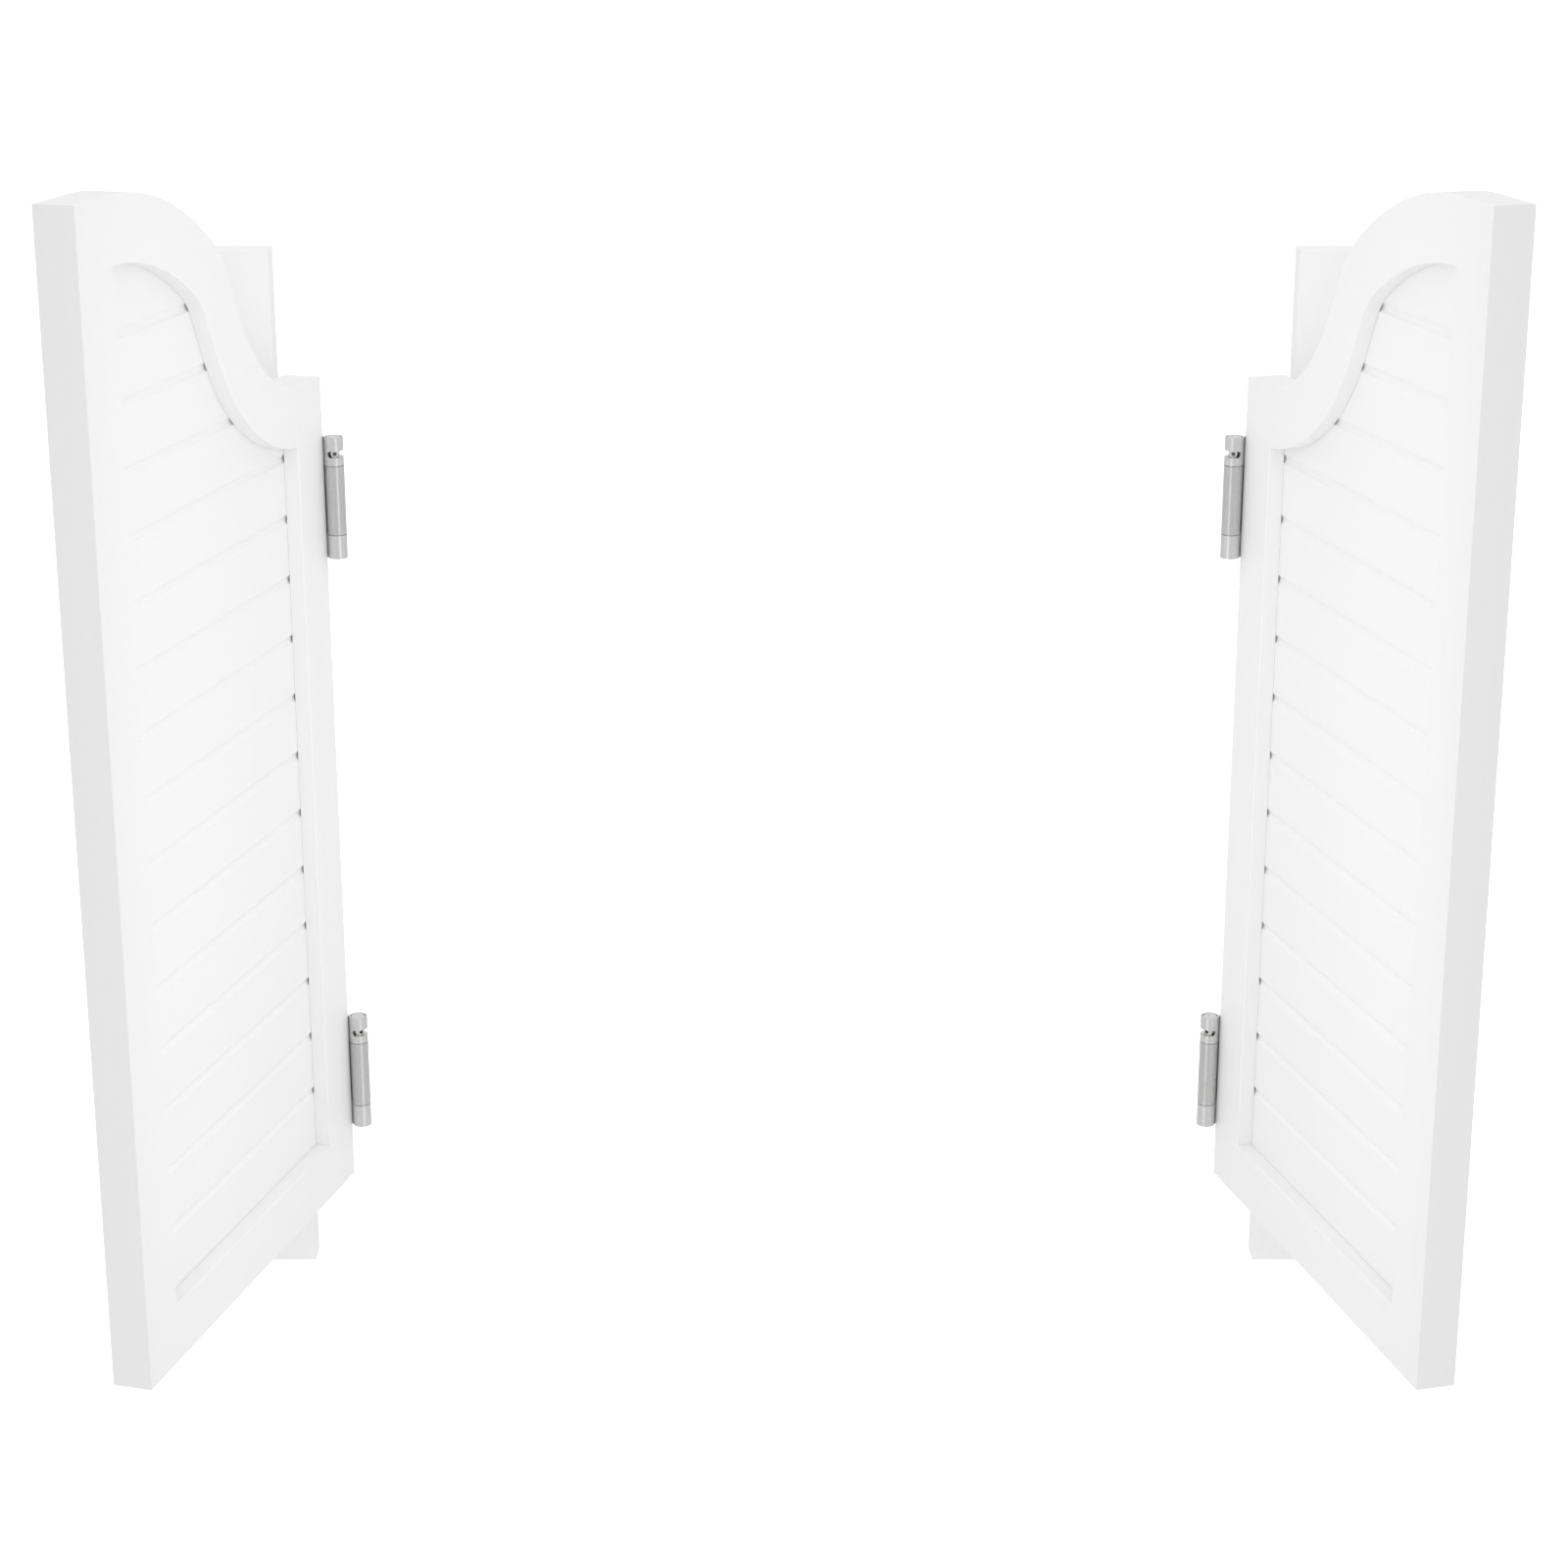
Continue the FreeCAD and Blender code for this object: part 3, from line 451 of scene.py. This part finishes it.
for side in SIDES:
    node = side + "_post"
    batten = softened(node, node + "_painted", SANDED_ROUND, SHORTEST_ARRIS)
    coat(batten, white_paint("satin_white_" + node, 0.0, "upright", POST_WHITE_WITH_PAINTED_LIGHT, POST_SHADE_WITH_PAINTED_LIGHT))
    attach(batten, "posts")
    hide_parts(node)

# ---------------------------------------------------------------------------------------------
# Dowels.  Bare beech, glued into the stiles and the ends of the rails, two to each corner, and
# hidden once the frame is together.
# ---------------------------------------------------------------------------------------------

BEECH_PALE = (0.62, 0.45, 0.28)
BEECH_DARK = (0.48, 0.32, 0.18)
BEECH_ROUGHNESS = 0.6


def bare_beech():
    """Unpainted beech with its pores along the upright."""
    material, tree, shader, place = new_material("bare_beech")
    wood = placed(tree, WOOD)
    tree.links.new(place, wood.inputs["Vector"])
    colour = blend_colours(tree, wood.outputs["Tone"], BEECH_PALE, BEECH_DARK)
    tree.links.new(colour, shader.inputs["Base Color"])
    shader.inputs["Roughness"].default_value = BEECH_ROUGHNESS
    return material


BEECH = bare_beech()
for side in SIDES:
    coat(nodes[side + "_frame_dowels"], BEECH)

# ---------------------------------------------------------------------------------------------
# Hinge sheet metal.  Satin steel: two flanges, screwed to the post and to the leaf and rolled
# into knuckles, and the web that joins the two tubes between them.  The flanges keep the pale
# finish of the sheet, and the web is drawn, a little darker, with fine lines up its length.
# ---------------------------------------------------------------------------------------------

METAL_ROUND = 0.00018
METAL_EDGE = 0.0006
HINGES = ("lower", "upper")
LINE_STRETCH = 0.02
FINE_LINES = {"Scale": 3200.0, "Detail": 2.0}
BROAD_LINES = {"Scale": 420.0, "Detail": 2.0}
BROAD_SHARE = 0.4
LINE_SPREAD = (0.35, 0.68)


def drawn_lines():
    """Fine lines up the metal, as a height and as a tone."""
    group, start, end = new_group(
        "drawn_lines",
        [("Vector", "NodeSocketVector", None), ("Length", "NodeSocketFloat", LINE_STRETCH)],
        [("Height", "NodeSocketFloat"), ("Tone", "NodeSocketFloat")])
    link = group.links.new
    squeeze = add_node(group, "ShaderNodeCombineXYZ", {"X": 1.0, "Y": 1.0})
    link(start.outputs["Length"], squeeze.inputs["Z"])
    stretch = add_node(group, "ShaderNodeVectorMath", operation="MULTIPLY")
    link(start.outputs["Vector"], stretch.inputs[0])
    link(squeeze.outputs[0], stretch.inputs[1])
    fine = add_node(group, "ShaderNodeTexNoise", FINE_LINES)
    broad = add_node(group, "ShaderNodeTexNoise", BROAD_LINES)
    link(stretch.outputs[0], fine.inputs["Vector"])
    link(stretch.outputs[0], broad.inputs["Vector"])
    link(fine.outputs["Fac"], end.inputs["Height"])
    both = blend_numbers(group, BROAD_SHARE, fine.outputs["Fac"], broad.outputs["Fac"])
    link(carried_over(group, both, LINE_SPREAD), end.inputs["Tone"])
    return group


LINES = drawn_lines()
# Painted shade with some dirt: the steel's crevices darken towards near black.
METAL_DUST_AND_SHADE_REACH = 0.0015
METAL_DUST_AND_SHADE_TONE = 0.5
METAL_DUST_AND_SHADE = (0.16, 0.16, 0.16)
DULLER_BY = 0.07
BRIGHTER_BY = 0.05
LINE_DEPTH = 0.00004


def brushed(name, bright, dull, roughness, relief):
    """Brushed steel whose lines run up the hinge."""
    material, tree, shader, place = new_material(name)
    link = tree.links.new
    shader.inputs["Metallic"].default_value = 1.0
    lines = placed(tree, LINES)
    dust_and_shade = placed(tree, DUST_AND_SHADE)
    dust_and_shade.inputs["Reach"].default_value = METAL_DUST_AND_SHADE_REACH
    link(place, lines.inputs["Vector"])
    colour = blend_colours(tree, lines.outputs["Tone"], bright, dull)
    # Painted shade with dirt: crevices round the knuckles and tubes darken by ambient occlusion.
    dust_and_shade_mask = scaled(tree, dust_and_shade.outputs["Mask"], METAL_DUST_AND_SHADE_TONE)
    link(blend_colours(tree, dust_and_shade_mask, colour, METAL_DUST_AND_SHADE), shader.inputs["Base Color"])
    gloss = (roughness - BRIGHTER_BY, roughness + DULLER_BY)
    link(carried_over(tree, lines.outputs["Tone"], new=gloss), shader.inputs["Roughness"])
    link(raised(tree, lines.outputs["Height"], relief, LINE_DEPTH), shader.inputs["Normal"])
    return material


SHEET_STEEL = brushed("satin_sheet_steel", bright=(0.70, 0.70, 0.697), dull=(0.62, 0.62, 0.617),
                      roughness=0.30, relief=0.20)
TUBE_STEEL = brushed("drawn_tube_steel", bright=(0.61, 0.61, 0.607), dull=(0.53, 0.53, 0.527),
                     roughness=0.28, relief=0.20)

for side in SIDES:
    for level in HINGES:
        hinge = "%s_%s_hinge_" % (side, level)
        for kind, body, slot, metal in (
                ("jamb_flange", "posts", "satin_steel", SHEET_STEEL),
                ("door_flange", side + "_leaf", "satin_steel", SHEET_STEEL),
                ("web", side + "_webs", "satin_steel_tube", TUBE_STEEL)):
            plate = softened(hinge + kind, hinge + kind + "_brushed", METAL_ROUND, METAL_EDGE)
            coat(plate, metal)
            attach(plate, body)
            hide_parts(hinge + kind)

# ---------------------------------------------------------------------------------------------
# Turned pieces.  The tension nuts and the pivots are bar-turned, so their ends carry fine rings
# about the barrel's own axis.
# ---------------------------------------------------------------------------------------------

RING_PITCH = 0.00022
RING_WANDER = {"Distortion": 0.6, "Detail": 2.0}
RING_RELIEF = 0.25
RING_DEPTH = 0.00003
TURNED_BRIGHT = (0.80, 0.80, 0.79)
TURNED_DULL = (0.66, 0.66, 0.65)
TURNED_ROUGHNESS = 0.24
# Painted shade with some dirt: the turned pieces' hollows darken towards near black.
TURNED_DUST_AND_SHADE_REACH = 0.0012
TURNED_DUST_AND_SHADE_TONE = 0.6
TURNED_DUST_AND_SHADE = (0.12, 0.12, 0.12)


def turned(name, axis):
    """Bright turned steel with tool rings about an upright axis."""
    material, tree, shader, place = new_material(name)
    link = tree.links.new
    shader.inputs["Metallic"].default_value = 1.0
    shader.inputs["Roughness"].default_value = TURNED_ROUGHNESS
    centred = add_node(tree, "ShaderNodeMapping", {"Location": (-axis.x, -axis.y, 0)})
    link(place, centred.inputs["Vector"])
    pattern = {"Scale": 1 / (RING_PITCH * 2 * math.pi), **RING_WANDER}
    rings = add_node(tree, "ShaderNodeTexWave", pattern, wave_type="RINGS", rings_direction="Z")
    link(centred.outputs["Vector"], rings.inputs["Vector"])
    dust_and_shade = placed(tree, DUST_AND_SHADE)
    dust_and_shade.inputs["Reach"].default_value = TURNED_DUST_AND_SHADE_REACH
    colour = blend_colours(tree, rings.outputs["Fac"], TURNED_BRIGHT, TURNED_DULL)
    # Painted shade with dirt: hollows of the nuts and pivots darken by ambient occlusion.
    dust_and_shade_mask = scaled(tree, dust_and_shade.outputs["Mask"], TURNED_DUST_AND_SHADE_TONE)
    link(blend_colours(tree, dust_and_shade_mask, colour, TURNED_DUST_AND_SHADE), shader.inputs["Base Color"])
    link(raised(tree, rings.outputs["Fac"], RING_RELIEF, RING_DEPTH), shader.inputs["Normal"])
    return material


for side in SIDES:
    for end, joint, body in (("jamb", "_post_barrels", "posts"),
                             ("door", "_leaf_barrels", side + "_leaf")):
        steel = turned("turned_steel_%s_%s" % (side, end), barrels[side + joint])
        for level in HINGES:
            node = "%s_%s_hinge_%s_tension_nut" % (side, level, end)
            nut = softened(node, node + "_turned", METAL_ROUND, METAL_EDGE)
            coat(nut, steel)
            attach(nut, body)
            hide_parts(node)
        coat(nodes["%s_%s_pivots" % (side, end)], steel)

# ---------------------------------------------------------------------------------------------
# Inside the tubes.  Torsion springs of oiled, dark wire, each held at its foot by a disc of the
# same dark steel, fixed in the tube.
# ---------------------------------------------------------------------------------------------

OILED_WIRE = brushed("oiled_spring_wire", bright=(0.20, 0.20, 0.21), dull=(0.12, 0.12, 0.13),
                     roughness=0.35, relief=0.2)

for side in SIDES:
    coat(nodes[side + "_spring_anchors"], OILED_WIRE)
    for level in HINGES:
        for end in ("jamb", "door"):
            coat(nodes["%s_%s_hinge_%s_spring" % (side, level, end)], OILED_WIRE)

# ---------------------------------------------------------------------------------------------
# Screws.  Bright zinc-plated steel with cross recesses, countersunk flush with the flanges and
# driven into the posts and the hinge stiles.
# ---------------------------------------------------------------------------------------------

ZINC = brushed("bright_zinc", bright=(0.72, 0.73, 0.75), dull=(0.58, 0.59, 0.62),
               roughness=0.28, relief=0.15)

for side in SIDES:
    for end in ("jamb", "door"):
        coat(nodes["%s_%s_screws" % (side, end)], ZINC)

# ---------------------------------------------------------------------------------------------
# Room.  A white floor well below the doors, a pale light from all round that is stronger from
# above, a soft lamp before each leaf that only lights the paint, narrow lamps between them that
# only show as a streak of gloss, and a camera a little above the doors, looking down.
# ---------------------------------------------------------------------------------------------

FLOOR_DROP = 0.35
FLOOR_SIZE = 60
FLOOR_COLOUR = (0.80, 0.80, 0.80, 1)
WHITE = (1, 1, 1, 1)
FLOOR_GLOW = 0.05
SEEN_GLOW = 0.60

bpy.ops.object.select_all(action="DESELECT")
bpy.ops.mesh.primitive_plane_add(size=FLOOR_SIZE, location=(0, 0, -FLOOR_DROP))
floor = bpy.context.active_object
floor.name = "floor"

pale, tree, shader, _ = new_material("pale_floor")
shader.inputs["Base Color"].default_value = FLOOR_COLOUR
shader.inputs["Roughness"].default_value = 1.0
shader.inputs["Specular IOR Level"].default_value = 0.0
shader.inputs["Emission Color"].default_value = WHITE
ray = tree.nodes.new("ShaderNodeLightPath")
glow = carried_over(tree, ray.outputs["Is Camera Ray"], new=(FLOOR_GLOW, SEEN_GLOW))
tree.links.new(glow, shader.inputs["Emission Strength"])
floor.data.materials.append(pale)

SKY_LIGHT = 0.695
TOWARDS_TOP = 0.43
SEEN_SKY = 1.10

scene = bpy.context.scene
world = bpy.data.worlds.new("white_studio")
scene.world = world
world.use_nodes = True
tree = world.node_tree
heading = tree.nodes.new("ShaderNodeTexCoord")
axes = tree.nodes.new("ShaderNodeSeparateXYZ")
tree.links.new(heading.outputs["Generated"], axes.inputs[0])
sky = add_node(tree, "ShaderNodeMath", {1: TOWARDS_TOP, 2: SKY_LIGHT}, operation="MULTIPLY_ADD")
tree.links.new(axes.outputs["Z"], sky.inputs[0])
ray = tree.nodes.new("ShaderNodeLightPath")
strength = add_node(tree, "ShaderNodeMix", {3: SEEN_SKY}, data_type="FLOAT")
tree.links.new(ray.outputs["Is Camera Ray"], strength.inputs[0])
tree.links.new(sky.outputs[0], strength.inputs[2])
tree.links.new(strength.outputs[0], tree.nodes["Background"].inputs["Strength"])
tree.nodes["Background"].inputs["Color"].default_value = WHITE

SOFT_LAMP_PLACE = (0.20, -0.56, 0.66)
SOFT_LAMP_SIZE = (0.20, 1.20)
SOFT_LAMP_WATTS = 0.69
EDGE_LAMP_PLACE = (0.0, -0.58, 0.50)
EDGE_LAMP_SIZE = (1.40, 0.24)
EDGE_LAMP_WATTS = 0.80


def hidden_lamp(name, place, turn, size, watts):
    """A flat lamp that the camera doesn't see."""
    bpy.ops.object.light_add(type="AREA", location=place, rotation=turn)
    lamp = bpy.context.active_object
    lamp.name = name
    lamp.data.shape = "RECTANGLE"
    lamp.data.size, lamp.data.size_y = size
    lamp.data.energy = watts
    lamp.visible_camera = False
    return lamp


for side, hand in (("left", -1), ("right", 1)):
    out, forward, height = SOFT_LAMP_PLACE
    soft = hidden_lamp("soft_lamp_" + side, (hand * out, forward, height), (math.pi / 2, 0, 0),
                       SOFT_LAMP_SIZE, SOFT_LAMP_WATTS)
    soft.visible_glossy = False
    edge = hidden_lamp("edge_lamp_" + side, EDGE_LAMP_PLACE, (0, -hand * math.pi / 2, 0),
                       EDGE_LAMP_SIZE, EDGE_LAMP_WATTS)
    edge.visible_diffuse = False

scene.view_settings.view_transform = "Standard"
scene.view_settings.look = "None"

CAMERA_PLACE = (0.0, -2.669, 1.303)
CAMERA_DIP = math.radians(18.0)
FOCAL_PIXELS = 3390
IMAGE_PIXELS = 1600
SENSOR = 36.0
FARTHEST = 200

bpy.ops.object.camera_add(location=CAMERA_PLACE, rotation=(math.pi / 2 - CAMERA_DIP, 0, 0))
camera = bpy.context.active_object
camera.data.sensor_width = SENSOR
camera.data.lens = SENSOR * FOCAL_PIXELS / IMAGE_PIXELS
camera.data.clip_end = FARTHEST
scene.camera = camera
